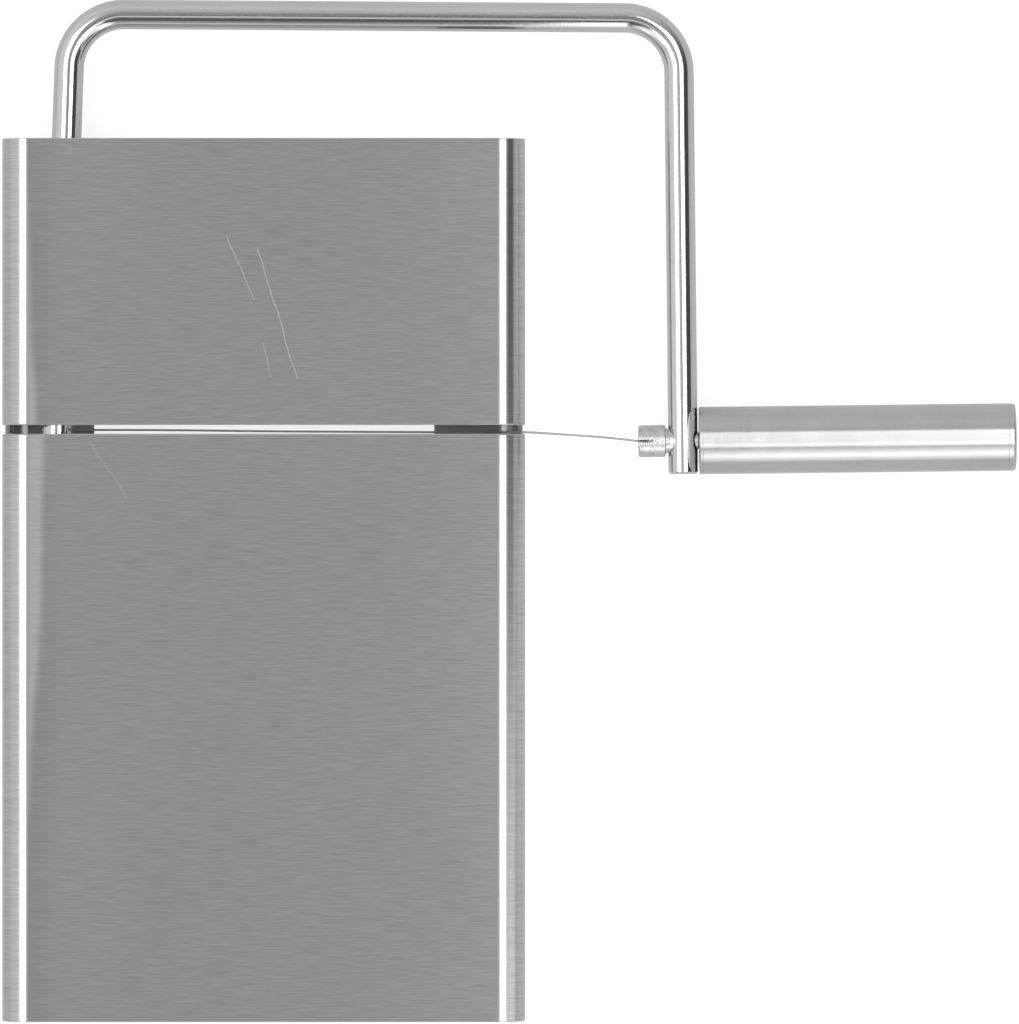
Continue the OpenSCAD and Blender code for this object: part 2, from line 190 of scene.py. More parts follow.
def block(name, low, high, turn=0.0, about=(0, 0, 0)):  # a cutter box in mm, turned about Z
    bm = bmesh.new()
    bmesh.ops.create_cube(bm, size=1)
    low, high = Vector(low), Vector(high)
    place = Matrix.Translation(Vector(about)) @ Matrix.Rotation(turn, 4, "Z")
    for v in bm.verts:
        v.co = place @ ((low + high) / 2 + Vector([v.co[i] * (high - low)[i] for i in range(3)])) * mm
    return meshObject(name, bm)


def softened(node, width):  # a CAD node's own shape with its edges broken
    bm = bmesh.new()
    bm.from_mesh(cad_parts[node].data)
    bmesh.ops.remove_doubles(bm, verts=bm.verts, dist=2e-6)
    bmesh.ops.dissolve_limit(bm, angle_limit=math.radians(1.5), verts=bm.verts, edges=bm.edges)
    piece = meshObject(node + ".soft", bm)
    edge = piece.modifiers.new("edge", "BEVEL")
    edge.width, edge.segments, edge.limit_method = width * mm, 2, "ANGLE"
    edge.angle_limit = math.radians(40)
    return smoothShaded(frozen(piece, node + ".finished"), 32)


def finish(piece, material, body, slotName, *nodes):  # material, body, slot name (not used) and the CAD nodes it stands for
    piece.data.materials.clear()
    piece.data.materials.append(material)
    if body:
        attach(piece, body)
    if nodes:
        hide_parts(*nodes)
    return piece


# directions and places of the frame, in mm

pivotPoint = (-49.15, 35.65, 8.0)
pivotAxis = (0.034899, 0.999391, 0.0)
handlePoint = (99.437, 33.0, 8.0)
handleAxis = (0.999936, 0.011344, 0.0)
handleTurn = math.atan2(handleAxis[1], handleAxis[0])
wireAnchor = (-49.15, 35.55, 8.0)  # where the wire crosses the pivot leg
deckTop = 14.4
rightward, upward = (1, 0, 0), (0, 0, 1)


def alongHandle(distance):  # a point on the handle's axis
    return tuple(Vector(handlePoint) + Vector(handleAxis) * distance)


# camera, floor and lights

cameraPlace = {
    "centre": (58.3, 16.1),  # the point under the lens
    "height": 2600.0,        # above the plane where the picture's scale holds
    "plane": 11.0,
    "view": 242.6,           # height of the picture at that plane
    "sensor": 36.0,
}

camera = bpy.data.objects.new("camera", bpy.data.cameras.new("camera"))
bpy.context.scene.collection.objects.link(camera)
camera.location = [cameraPlace["centre"][0] * mm, cameraPlace["centre"][1] * mm,
                   (cameraPlace["height"] + cameraPlace["plane"]) * mm]
camera.data.sensor_width = cameraPlace["sensor"]
camera.data.lens = cameraPlace["sensor"] * cameraPlace["height"] / cameraPlace["view"]
camera.data.clip_start, camera.data.clip_end = 0.01, 20
bpy.context.scene.camera = camera
bpy.context.scene.view_settings.view_transform = "Standard"

studio = {
    "distance": 1.25,        # metres from the board to each softbox
    # softboxes: name, degrees to the right, degrees to the back, width and depth in degrees, radiance
    "softboxes": [
        ("left_softbox", -27.5, 2.0, 25.0, 50.0, 2.0),
        ("right_softbox", 22.7, 2.0, 26.5, 50.0, 2.0),
        ("left_front_softbox", -35.0, -47.0, 28.0, 40.0, 0.7),
        ("right_front_softbox", 35.0, -47.0, 28.0, 40.0, 0.7),
    ],
    # near cards: name, place, what it faces, width and depth in metres, radiance. The first fades the right
    # roll's dark line towards the front, the second lights the front of the handle.
    "cards": [
        ("roll_card", (0.33, -0.14, 0.20), (0.055, -0.14, 0.01), 0.27, 0.22, 1.35),
        ("handle_card", (0.16, -0.23, 0.21), (0.15, 0.033, 0.008), 0.19, 0.32, 1.35),
    ],
    "cardSpread": 66.0,  # degrees that a gridded card throws its light over, fading to its sides
    # grey level of the room by angle from straight up: to the right, then to the back
    "acrossRoom": [(-180, 0.84), (-90, 0.86), (-75, 0.88), (-60, 0.92), (-46, 0.98), (-38, 0.90),
                   (-15, 0.82), (-4, 0.66), (3, 0.58), (9, 0.36), (35, 0.25), (38, 0.08), (68, 0.08),
                   (73, 0.64), (90, 0.62), (180, 0.62)],
    "alongRoom": [(-180, 0.80), (-100, 0.80), (-76, 0.76), (-61, 0.42), (-52, 0.22), (-40, 0.12),
                  (-27, 0.16), (-21, 0.80), (-14, 0.80), (-9, 0.18), (-4, 0.15), (3, 0.20), (9, 0.34),
                  (18, 0.54), (32, 0.66), (45, 0.74), (58, 0.78), (72, 0.72), (180, 0.72)],
    "floorSize": 12.0,
    "floorShade": "#949494",
    "floorLift": 0.80,       # what camera rays add to the floor
    "mirrorShare": 0.45,     # how much of that the metal's reflections see
}

world = bpy.data.worlds.new("studio_room")
bpy.context.scene.world = world
world.use_nodes = True
room = world.node_tree
room.nodes.clear()
outward = addNode(room, "ShaderNodeTexCoord").outputs["Generated"]
direction = addNode(room, "ShaderNodeSeparateXYZ", {"Vector": outward})


def roomRamp(axisName, stops):  # grey level by the angle from straight up in one vertical plane
    angle = addNode(room, "ShaderNodeMath", {0: direction.outputs[axisName], 1: direction.outputs["Z"]},
                    operation="ARCTAN2")
    place = addNode(room, "ShaderNodeMapRange", {"Value": angle, "From Min": -math.pi, "From Max": math.pi})
    ramp = addNode(room, "ShaderNodeValToRGB", {"Fac": place.outputs["Result"]})
    fillRamp(ramp, [((degrees + 180) / 360, level) for degrees, level in stops])
    return ramp.outputs["Color"]


squareX = addNode(room, "ShaderNodeMath", {0: direction.outputs["X"], 1: 2.0}, operation="POWER")
squareY = addNode(room, "ShaderNodeMath", {0: direction.outputs["Y"], 1: 2.0}, operation="POWER")
squareSum = addNode(room, "ShaderNodeMath", {0: squareX, 1: squareY}, operation="ADD")
squareSafe = addNode(room, "ShaderNodeMath", {0: squareSum, 1: 1e-5}, operation="MAXIMUM")
share = addNode(room, "ShaderNodeMath", {0: squareX, 1: squareSafe}, operation="DIVIDE")
roomGrey = addNode(room, "ShaderNodeMix", {0: share, 6: roomRamp("Y", studio["alongRoom"]),
                                           7: roomRamp("X", studio["acrossRoom"])}, data_type="RGBA")
seen = addNode(room, "ShaderNodeLightPath").outputs["Is Camera Ray"]
roomLight = addNode(room, "ShaderNodeBackground", {"Color": roomGrey.outputs[2], "Strength": 1.0})
roomWhite = addNode(room, "ShaderNodeBackground", {"Color": (1, 1, 1, 1), "Strength": 1.0})
roomMix = addNode(room, "ShaderNodeMixShader", {0: seen, 1: roomLight, 2: roomWhite})
addNode(room, "ShaderNodeOutputWorld", {"Surface": roomMix})


def areaLamp(name, place, target, width, depth, radiance, spread=180.0):  # in metres; unseen by the camera
    aim = (Vector(place) - Vector(target)).normalized()
    sideways = Vector((0, 1, 0)).cross(aim).normalized()
    lamp = bpy.data.lights.new(name, "AREA")
    lamp.shape, lamp.size, lamp.size_y = "RECTANGLE", width, depth
    lamp.energy = radiance * 4 * width * depth  # watts that give this radiance
    if spread < 180:
        lamp.spread = math.radians(spread)
        lamp.energy *= 1 - math.radians(spread / 2) / math.tan(math.radians(spread / 2))
    lampObject = bpy.data.objects.new(name, lamp)
    bpy.context.scene.collection.objects.link(lampObject)
    lampObject.location = place
    lampObject.rotation_euler = Matrix((sideways, aim.cross(sideways), aim)).transposed().to_euler()
    lampObject.visible_camera = False


for name, right, back, width, depth, radiance in studio["softboxes"]:
    aim = Vector((math.tan(math.radians(right)), math.tan(math.radians(back)), 1)).normalized()
    width, depth = [2 * studio["distance"] * math.tan(math.radians(angle / 2)) for angle in (width, depth)]
    areaLamp(name, aim * studio["distance"], (0, 0, 0), width, depth, radiance)
for card in studio["cards"]:
    areaLamp(*card, spread=studio["cardSpread"])

floorMesh = bpy.data.meshes.new("floor")
half = studio["floorSize"] / 2
floorCorners = [(-half, -half, 0), (half, -half, 0), (half, half, 0), (-half, half, 0)]
floorMesh.from_pydata(floorCorners, [], [(0, 1, 2, 3)])
floor = makeObject("floor", floorMesh)
floorPaint = bpy.data.materials.new("matt_white_floor")  # a pale sheet that stays white but for the shadow
floorPaint.use_nodes = True
tree = floorPaint.node_tree
tree.nodes.clear()
lightPath = addNode(tree, "ShaderNodeLightPath")
mirrored = addNode(tree, "ShaderNodeMath", {0: lightPath.outputs["Is Glossy Ray"], 1: studio["mirrorShare"]},
                   operation="MULTIPLY")
shown = addNode(tree, "ShaderNodeMath", {0: lightPath.outputs["Is Camera Ray"], 1: mirrored},
                operation="ADD")
shown = addNode(tree, "ShaderNodeMath", {0: shown, 1: lightPath.outputs["Is Transmission Ray"]},
                operation="ADD", use_clamp=True)
lift = addNode(tree, "ShaderNodeMath", {0: shown, 1: studio["floorLift"]}, operation="MULTIPLY")
glow = addNode(tree, "ShaderNodeEmission", {"Color": (1, 1, 1, 1), "Strength": lift})
matt = addNode(tree, "ShaderNodeBsdfDiffuse", {"Color": linearHex(studio["floorShade"])})
lit = addNode(tree, "ShaderNodeAddShader", {0: glow, 1: matt})
clear = addNode(tree, "ShaderNodeBsdfTransparent")  # seen from below the floor is clear
facing = addNode(tree, "ShaderNodeNewGeometry")
floorMix = addNode(tree, "ShaderNodeMixShader", {0: facing.outputs["Backfacing"], 1: lit, 2: clear})
addNode(tree, "ShaderNodeOutputMaterial", {"Surface": floorMix})
floorMesh.materials.append(floorPaint)
print("camera, floor and softboxes placed")


# materials

def grainMetal(name, look):
    # Metal with a directional grain, fine pits and slow changes of tone. look: colour, roughness, anisotropy,
    # grain (size in mm along X, Y, Z), turn (degrees about Z), and the strengths of what shows.
    material = bpy.data.materials.new(name)
    material.use_nodes = True
    tree = material.node_tree
    shader = tree.nodes["Principled BSDF"]
    shader.inputs["Metallic"].default_value = 1.0
    shader.inputs["Anisotropic"].default_value = look.get("anisotropy", 0.0)
    place = addNode(tree, "ShaderNodeTexCoord").outputs["Object"]
    grainPlace = addNode(tree, "ShaderNodeMapping", {
        "Vector": place, "Rotation": (0, 0, math.radians(look.get("turn", 0.0)))}, vector_type="TEXTURE")
    grainScaled = addNode(tree, "ShaderNodeVectorMath", {
        0: grainPlace, 1: [1 / (size * mm) for size in look["grain"]]}, operation="MULTIPLY")
    grain = addNode(tree, "ShaderNodeTexNoise", {
        "Vector": grainScaled, "Scale": 1.0, "Detail": 3.0, "Roughness": 0.6})
    pits = addNode(tree, "ShaderNodeTexNoise", {
        "Vector": place, "Scale": 1 / (look["pit"] * mm), "Detail": 2.0})
    patches = addNode(tree, "ShaderNodeTexNoise", {
        "Vector": place, "Scale": 1 / (look["patch"] * mm), "Detail": 3.0})
    tone, patchTone, rough = [
        addNode(tree, "ShaderNodeMapRange", {
            "Value": noise.outputs["Fac"], "From Min": 0.3, "From Max": 0.7, "To Min": middle - spread,
            "To Max": middle + spread})
        for noise, middle, spread in ((grain, 1, look["grainTone"]), (patches, 1, look["patchTone"]),
                                      (grain, look["roughness"], look["roughSpread"]))]
    both = addNode(tree, "ShaderNodeMath", {0: tone, 1: patchTone}, operation="MULTIPLY")
    base = addNode(tree, "ShaderNodeVectorMath", {
        0: linearHex(look["colour"])[:3], "Scale": both}, operation="SCALE")
    tree.links.new(base.outputs[0], shader.inputs["Base Color"])
    tree.links.new(rough.outputs[0], shader.inputs["Roughness"])
    bump = addNode(tree, "ShaderNodeBump", {
        "Height": grain.outputs["Fac"], "Strength": 1.0, "Distance": look["grainDepth"] * mm})
    bump = addNode(tree, "ShaderNodeBump", {
        "Height": pits.outputs["Fac"], "Strength": 1.0, "Distance": look["pitDepth"] * mm,
        "Normal": bump})
    tree.links.new(bump.outputs[0], shader.inputs["Normal"])
    if look.get("anisotropy"):
        along = addNode(tree, "ShaderNodeTangent", direction_type="UV_MAP")
        tree.links.new(along.outputs[0], shader.inputs["Tangent"])
    return material, tree, base, both


boardLook = {  # brushed 304 stainless: neutral grey, streaks along X, highlights smeared along Y
    "colour": "#bfbfbf", "roughness": 0.28, "roughSpread": 0.003, "anisotropy": 0.85,
    "grain": (7.0, 0.22, 7.0), "grainTone": 0.17, "grainDepth": 0.0001,
    "pit": 0.6, "pitDepth": 0.0001, "patch": 40.0, "patchTone": 0.03,
}
paintedEdgeShade = {"from": -56.0, "to": -45.0, "tone": 0.89}  # painted shade: the deck's colour darkens beside the left roll, standing in for the dimmer reflection where the sheet curves slightly
scratchMarks = {  # knife and wear marks on the deck: start, end (mm on the deck), half width, brightness
    "longLeft": ((-8.4, 81.7), (-2.0, 66.3), 0.16, 0.55),
    "longRight": ((-1.3, 78.2), (8.0, 47.9), 0.16, 0.60),
    "shortRight": ((-0.1, 56.1), (1.6, 47.9), 0.15, 0.40),
    "belowSlot": ((-40.6, 32.5), (-32.5, 19.2), 0.40, 0.12),
}
markWobble = {"size": 9.0, "reach": 1.6}  # mm; how a mark strays from its straight line

brushedSheet, tree, boardBase, boardTone = grainMetal("brushed_stainless_sheet", boardLook)
deckPlace = addNode(tree, "ShaderNodeTexCoord").outputs["Object"]
wobble = addNode(tree, "ShaderNodeTexNoise", {
    "Vector": deckPlace, "Scale": 1 / (markWobble["size"] * mm), "Detail": 1.0})
wobbled = addNode(tree, "ShaderNodeVectorMath", {0: wobble.outputs["Color"], 1: (0.5, 0.5, 0.5)},
                  operation="SUBTRACT")
wobbled = addNode(tree, "ShaderNodeVectorMath", {
    0: wobbled, 1: (markWobble["reach"] * mm, markWobble["reach"] * mm, 0), 2: deckPlace},
    operation="MULTIPLY_ADD")
across = addNode(tree, "ShaderNodeSeparateXYZ", {"Vector": deckPlace})
# painted shade: the deck's tone falls smoothly towards the left roll; the roll itself keeps its full tone
edgeShade = addNode(tree, "ShaderNodeMapRange", {
    "Value": across.outputs["X"], "From Min": paintedEdgeShade["from"] * mm, "From Max": paintedEdgeShade["to"] * mm,
    "To Min": paintedEdgeShade["tone"], "To Max": 1.0}, interpolation_type="SMOOTHSTEP")
onRoll = addNode(tree, "ShaderNodeMath", {0: across.outputs["X"], 1: paintedEdgeShade["from"] * mm},
                 operation="LESS_THAN")
edgeShade = addNode(tree, "ShaderNodeMath", {0: edgeShade, 1: onRoll}, operation="MAXIMUM")
# the painted edge shade scales the grain tone, and the wear marks below are added onto it
edgeShadeAndMarks = addNode(tree, "ShaderNodeMath", {0: boardTone, 1: edgeShade}, operation="MULTIPLY")
for start, end, halfWidth, brightness in scratchMarks.values():  # by the distance to the mark's line
    startPoint = Vector((*start, deckTop)) * mm
    run = Vector((*end, deckTop)) * mm - startPoint
    fromStart = addNode(tree, "ShaderNodeVectorMath", {0: wobbled, 1: startPoint}, operation="SUBTRACT")
    along = addNode(tree, "ShaderNodeVectorMath", {0: fromStart, 1: run / run.length_squared},
                    operation="DOT_PRODUCT")
    onLine = addNode(tree, "ShaderNodeClamp", {"Value": along.outputs["Value"]})
    nearest = addNode(tree, "ShaderNodeVectorMath", {0: run, "Scale": onLine}, operation="SCALE")
    gap = addNode(tree, "ShaderNodeVectorMath", {0: fromStart, 1: nearest}, operation="DISTANCE")
    mark = addNode(tree, "ShaderNodeMapRange", {
        "Value": gap.outputs["Value"], "From Min": halfWidth * mm * 0.5, "From Max": halfWidth * mm,
        "To Min": brightness, "To Max": 0.0})
    edgeShadeAndMarks = addNode(tree, "ShaderNodeMath", {0: edgeShadeAndMarks, 1: mark}, operation="ADD")
tree.links.new(edgeShadeAndMarks.outputs[0], boardBase.inputs["Scale"])

rodLook = {  # polished drawn rod: mirror bands with fine orange peel where they meet
    "colour": "#cfcfcf", "roughness": 0.10, "roughSpread": 0.03, "grain": (0.7, 0.7, 0.7), "grainTone": 0.03,
    "grainDepth": 0.004, "pit": 0.32, "pitDepth": 0.004, "patch": 14.0, "patchTone": 0.02,
}
polishedRod = grainMetal("polished_stainless_rod", rodLook)[0]

tubeLook = {  # satin tube: fine rings left by the belt, bands stay but are soft
    "colour": "#c2c2c2", "roughness": 0.25, "roughSpread": 0.02, "anisotropy": 0.88,
    "turn": math.degrees(handleTurn), "grain": (0.35, 12.0, 12.0), "grainTone": 0.030,
    "grainDepth": 0.0002, "pit": 1.2, "pitDepth": 0.0004, "patch": 9.0, "patchTone": 0.05,
}
satinTube = grainMetal("satin_stainless_tube", tubeLook)[0]

screwLook = {  # lathe-turned steel, not polished: rings and specks
    "colour": "#cfcfcf", "roughness": 0.27, "roughSpread": 0.06, "anisotropy": 0.6,
    "turn": math.degrees(handleTurn), "grain": (0.30, 6.0, 6.0), "grainTone": 0.08, "grainDepth": 0.004,
    "pit": 0.40, "pitDepth": 0.05, "patch": 1.2, "patchTone": 0.10,
}
turnedSteel = grainMetal("turned_stainless_steel", screwLook)[0]

wireLook = {  # drawn wire: dull grey with draw lines along it
    "colour": "#b4b4b3", "roughness": 0.30, "roughSpread": 0.05, "grain": (4.0, 0.08, 0.08),
    "grainTone": 0.10, "grainDepth": 0.002, "pit": 0.2, "pitDepth": 0.001, "patch": 8.0, "patchTone": 0.06,
}
drawnWire = grainMetal("drawn_stainless_wire", wireLook)[0]

nippleLook = {  # nickel-plated brass: a faintly warm grey, slightly dulled
    "colour": "#b9b4a8", "roughness": 0.28, "roughSpread": 0.06, "grain": (0.25, 3.0, 3.0), "grainTone": 0.08,
    "grainDepth": 0.003, "pit": 0.3, "pitDepth": 0.003, "patch": 1.5, "patchTone": 0.10,
}
platedBrass = grainMetal("nickel_plated_brass", nippleLook)[0]

bracketLook = {  # zinc plated strip: cool grey, cloudy spangle
    "colour": "#b9bdc1", "roughness": 0.38, "roughSpread": 0.08, "grain": (1.6, 1.6, 1.6), "grainTone": 0.07,
    "grainDepth": 0.003, "pit": 0.5, "pitDepth": 0.004, "patch": 4.0, "patchTone": 0.09,
}
zincStrip = grainMetal("zinc_plated_strip", bracketLook)[0]

washerLook = {  # stamped stainless washer, tumbled
    "colour": "#bfbfbd", "roughness": 0.30, "roughSpread": 0.07, "grain": (0.8, 0.8, 0.8), "grainTone": 0.06,
    "grainDepth": 0.004, "pit": 0.3, "pitDepth": 0.004, "patch": 3.0, "patchTone": 0.05,
}
tumbledSteel = grainMetal("tumbled_stainless_washer", washerLook)[0]

clipLook = {  # blued spring steel: dark, faintly warm
    "colour": "#6b6a6c", "roughness": 0.34, "roughSpread": 0.07, "grain": (0.6, 0.6, 0.6), "grainTone": 0.12,
    "grainDepth": 0.003, "pit": 0.3, "pitDepth": 0.003, "patch": 2.5, "patchTone": 0.12,
}
springSteel = grainMetal("dark_spring_steel", clipLook)[0]


def mouldedPart(name, look):  # moulded nylon or rubber: a slightly uneven matt skin
    material = bpy.data.materials.new(name)
    material.use_nodes = True
    tree = material.node_tree
    shader = tree.nodes["Principled BSDF"]
    shader.inputs["IOR"].default_value = look["ior"]
    place = addNode(tree, "ShaderNodeTexCoord").outputs["Object"]
    skin, cloud = [
        addNode(tree, "ShaderNodeTexNoise", {"Vector": place, "Scale": 1 / (size * mm), "Detail": detail})
        for size, detail in ((look["skin"], 3.0), (look["cloud"], 2.0))]
    tint = addNode(tree, "ShaderNodeMix", {
        "Factor": cloud.outputs["Fac"], 6: linearHex(look["dark"]), 7: linearHex(look["light"])},
        data_type="RGBA")
    rough = addNode(tree, "ShaderNodeMapRange", {
        "Value": skin.outputs["Fac"], "To Min": look["roughness"] - look["roughSpread"],
        "To Max": look["roughness"] + look["roughSpread"]})
    bump = addNode(tree, "ShaderNodeBump", {"Height": skin.outputs["Fac"], "Distance": look["depth"] * mm})
    tree.links.new(tint.outputs[2], shader.inputs["Base Color"])
    tree.links.new(rough.outputs[0], shader.inputs["Roughness"])
    tree.links.new(bump.outputs[0], shader.inputs["Normal"])
    return material


nylonLook = {  # natural nylon: milky off-white
    "dark": "#d6d3c8", "light": "#e4e1d7", "roughness": 0.42, "roughSpread": 0.08, "ior": 1.53,
    "skin": 0.35, "cloud": 3.0, "depth": 0.01,
}
rubberLook = {  # moulded rubber: soft black, matt
    "dark": "#232324", "light": "#313132", "roughness": 0.72, "roughSpread": 0.08, "ior": 1.52,
    "skin": 0.25, "cloud": 2.5, "depth": 0.02,
}
naturalNylon = mouldedPart("natural_nylon", nylonLook)
mouldedRubber = mouldedPart("moulded_rubber", rubberLook)
print("materials made:", len(bpy.data.materials))


# node trees that repeat or follow a path

def treeWith(name, inputs):  # a geometry tree with named inputs and one geometry output
    tree = bpy.data.node_groups.new(name, "GeometryNodeTree")
    tree.interface.new_socket("Geometry", in_out="INPUT", socket_type="NodeSocketGeometry")
    for label, kind in inputs.items():
        tree.interface.new_socket(label, in_out="INPUT", socket_type="NodeSocket" + kind)
    tree.interface.new_socket("Geometry", in_out="OUTPUT", socket_type="NodeSocketGeometry")
    return tree, addNode(tree, "NodeGroupInput").outputs


def runTree(carrier, tree, choices, name):  # sets the inputs by identifier, then keeps the result as a mesh
    modifier = carrier.modifiers.new(name, "NODES")
    modifier.node_group = tree
    for item in tree.interface.items_tree:
        if item.item_type == "SOCKET" and item.in_out == "INPUT" and item.name in choices:
            modifier[item.identifier] = choices[item.name]
    return frozen(carrier, name)


def closeTree(tree, geometry, given):  # every tree ends the same way
    plain = addNode(tree, "GeometryNodeRealizeInstances", {"Geometry": geometry})
    painted = addNode(tree, "GeometryNodeSetMaterial", {"Geometry": plain, "Material": given["Material"]})
    addNode(tree, "NodeGroupOutput", {"Geometry": painted})


sweepTree, given = treeWith("round_bar_along_path", {"Sides": "Int", "Material": "Material"})
path = addNode(sweepTree, "GeometryNodeMeshToCurve", {"Mesh": given["Geometry"]})
thickness = addNode(sweepTree, "GeometryNodeInputNamedAttribute", {"Name": "thickness"}, data_type="FLOAT")
section = addNode(sweepTree, "GeometryNodeCurvePrimitiveCircle", {
    "Resolution": given["Sides"], "Radius": 1.0})
bar = addNode(sweepTree, "GeometryNodeCurveToMesh", {
    "Curve": path, "Profile Curve": section, "Scale": thickness, "Fill Caps": True})
closeTree(sweepTree, bar, given)

threadTree, given = treeWith("helical_thread", {
    "Turns": "Float", "Core Radius": "Float", "Length": "Float", "Crest": "Float", "Material": "Material"})
helix = addNode(threadTree, "GeometryNodeCurveSpiral", {
    "Resolution": 28, "Rotations": given["Turns"], "Start Radius": given["Core Radius"],
    "End Radius": given["Core Radius"], "Height": given["Length"]})
crest = addNode(threadTree, "GeometryNodeCurvePrimitiveCircle", {"Resolution": 3, "Radius": given["Crest"]})
ridge = addNode(threadTree, "GeometryNodeCurveToMesh", {
    "Curve": helix, "Profile Curve": crest, "Fill Caps": True})
closeTree(threadTree, ridge, given)

repeatTree, given = treeWith("one_shape_at_each_point", {"Shape": "Object", "Material": "Material"})
shape = addNode(repeatTree, "GeometryNodeObjectInfo", {"Object": given["Shape"]}, transform_space="ORIGINAL")
copies = addNode(repeatTree, "GeometryNodeInstanceOnPoints", {
    "Points": given["Geometry"], "Instance": shape.outputs["Geometry"]})
closeTree(repeatTree, copies, given)


def repeated(name, shape, points, material):  # the shape at each point, in mm
    mesh = bpy.data.meshes.new(name + ".points")
    mesh.from_pydata([Vector(p) * mm for p in points], [], [])
    choices = {"Shape": shape, "Material": material}
    piece = runTree(makeObject(name + ".points", mesh), repeatTree, choices, name)
    bpy.data.objects.remove(shape)
    return piece


def pathCarrier(name, points):  # points: (x, y, z, radius) in mm
    mesh = bpy.data.meshes.new(name)
    mesh.from_pydata([Vector(p[:3]) * mm for p in points], [(i, i + 1) for i in range(len(points) - 1)], [])
    mesh.attributes.new("thickness", "FLOAT", "POINT").data.foreach_set("value", [p[3] * mm for p in points])
    return makeObject(name, mesh)


# board

boardSize = {
    "halfWidth": 62.0, "halfLength": 104.6, "top": deckTop, "lipBottom": 1.6, "sheet": 1.0, "lipEdge": 40.4,
    "slotFront": 34.60, "slotBack": 36.70, "slotFloor": 5.3, "slotBevel": 0.32, "edgeBreak": 0.16,
    "lowSteps": 14, "highSteps": 40, "lipBreak": 0.2,
    "deckSteps": (0.4, 1.2, 2.0, 2.8, 3.6, 4.4, 5.2, 6.2, 8.0, 20.0, 36.0),
    # rows of points across the board: before the slot, behind it, and how far they stand off an edge
    "frontRows": (-68, 34, 3), "backRows": (40, 102, 3), "endGuard": 0.4, "slotGuard": 0.3,
    "bevelOut": 0.75, "bevelIn": 0.3,  # depth of the slot's bevel on the sheet's two faces, by its width
}
sprungEdge = {  # the deck's left margin has sprung down a little beside the slot
    "slope": 0.050, "ease": 0.5,
    # place along Y and how wide the dipped margin is there
    "widths": [(-64, 0.0), (-45, 0.9), (-33, 1.6), (-18, 3.0), (-6, 3.6), (12, 3.8), (24, 4.0), (34.6, 4.3),
               (36.7, 2.4), (44, 2.2), (58, 1.1), (90, 0.4), (100, 0.0)],
}
footPlace = {"x": 51.0, "y": 89.6, "hole": 2.5}


def boardSection():
    # The C section from the right lip round to the left one: outer and inner points with normals.
    outerRadius = (boardSize["top"] - boardSize["lipBottom"]) / 2
    innerRadius = outerRadius - boardSize["sheet"]
    centreX, centreZ = boardSize["halfWidth"] - outerRadius, boardSize["top"] - outerRadius
    lip, soft, low = boardSize["lipEdge"], boardSize["lipBreak"], boardSize["lipBottom"]
    right = [((lip, low + soft), (lip, low + boardSize["sheet"] - soft), (-1, 0)),
             ((lip + soft, low), (lip + soft, low + boardSize["sheet"]), (0, -1)),
             ((centreX - boardSize["endGuard"], low),
              (centreX - boardSize["endGuard"], low + boardSize["sheet"]), (0, -1))]
    outerSplit = math.asin((boardSize["slotFloor"] - centreZ) / outerRadius)
    innerSplit = math.asin((boardSize["slotFloor"] - centreZ) / innerRadius)
    lowSteps, highSteps = boardSize["lowSteps"], boardSize["highSteps"]

    def onArc(outerAngle, innerAngle):
        cosine, sine = math.cos(outerAngle), math.sin(outerAngle)
        return ((centreX + outerRadius * cosine, centreZ + outerRadius * sine),
                (centreX + innerRadius * math.cos(innerAngle), centreZ + innerRadius * math.sin(innerAngle)),
                (cosine, sine))

    down, up = -math.pi / 2, math.pi / 2
    for k in range(lowSteps):
        t = k / lowSteps
        right.append(onArc(down + (outerSplit - down) * t, down + (innerSplit - down) * t))
    split = len(right)
    for k in range(highSteps + 1):
        t = k / highSteps
        right.append(onArc(outerSplit + (up - outerSplit) * t, innerSplit + (up - innerSplit) * t))
    deck = boardSize["top"] - boardSize["sheet"]
    for back in boardSize["deckSteps"]:
        right.append(((centreX - back, boardSize["top"]), (centreX - back, deck), (0, 1)))
    left = [((-o[0], o[1]), (-i[0], i[1]), (-n[0], n[1])) for o, i, n in reversed(right)]
    return right + left, split


def springDrop(x, y, height):  # how far a point of the left margin lies below the true section, in mm
    stops = sprungEdge["widths"]
    width = 0.0
    for (y0, w0), (y1, w1) in zip(stops, stops[1:]):
        if y0 <= y <= y1:
            t = (y - y0) / (y1 - y0)
            width = w0 + (w1 - w0) * t * t * (3 - 2 * t)
    centreX = boardSize["halfWidth"] - (boardSize["top"] - boardSize["lipBottom"]) / 2
    into = min(-x, centreX) - (centreX - width)
    if x > 0 or into <= 0:
        return 0.0
    ease = sprungEdge["ease"]
    drop = sprungEdge["slope"] * (into * into / (2 * ease) if into < ease else into - ease / 2)
    fade = (height - boardSize["slotFloor"]) / (boardSize["top"] - boardSize["slotFloor"])
    return drop * min(1.0, max(0.0, fade))


